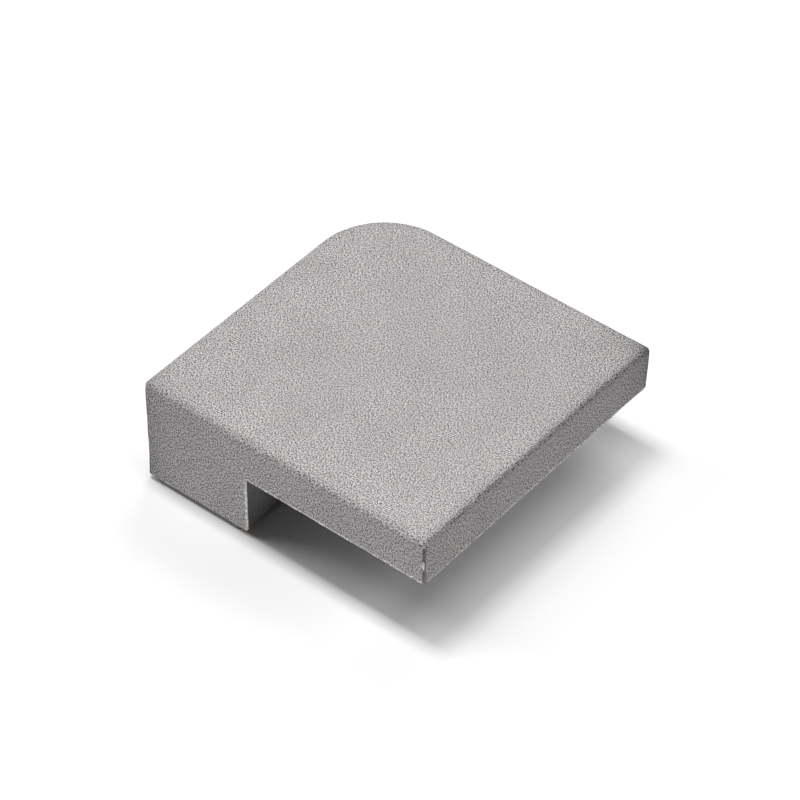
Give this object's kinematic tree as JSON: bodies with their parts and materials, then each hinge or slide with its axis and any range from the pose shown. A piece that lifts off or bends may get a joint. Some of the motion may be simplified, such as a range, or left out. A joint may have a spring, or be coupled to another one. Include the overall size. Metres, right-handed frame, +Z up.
{
  "type": "jewelry display stand",
  "caption": "Suede-covered square display block with one rounded corner, whose platform overhangs a foot under its left side.",
  "frame": {"origin": "middle of the stand's bounding box, on the surface it stands on", "axes": "+Z up, normal to the display top; +X from the foot's side to the overhanging side; +Y from the front face to the back face"},
  "size_m": [0.1, 0.1, 0.0371],
  "materials": {
    "board": "matte",
    "ballast": "satin",
    "screws": "satin",
    "foam": "matte",
    "suede": "matte",
    "lining": "matte",
    "pad": "matte"
  },
  "bodies": {
    "root": {"platform_board": "board", "foot_block_upper": "board", "foot_block_lower": "board", "ballast_bar": "ballast", "ballast_screws": "screws", "foot_screws": "screws", "top_foam": "foam", "suede_wrap": "suede", "foot_inner_lining": "lining", "underside_lining": "lining", "base_pad": "pad"}
  },
  "joints": []
}
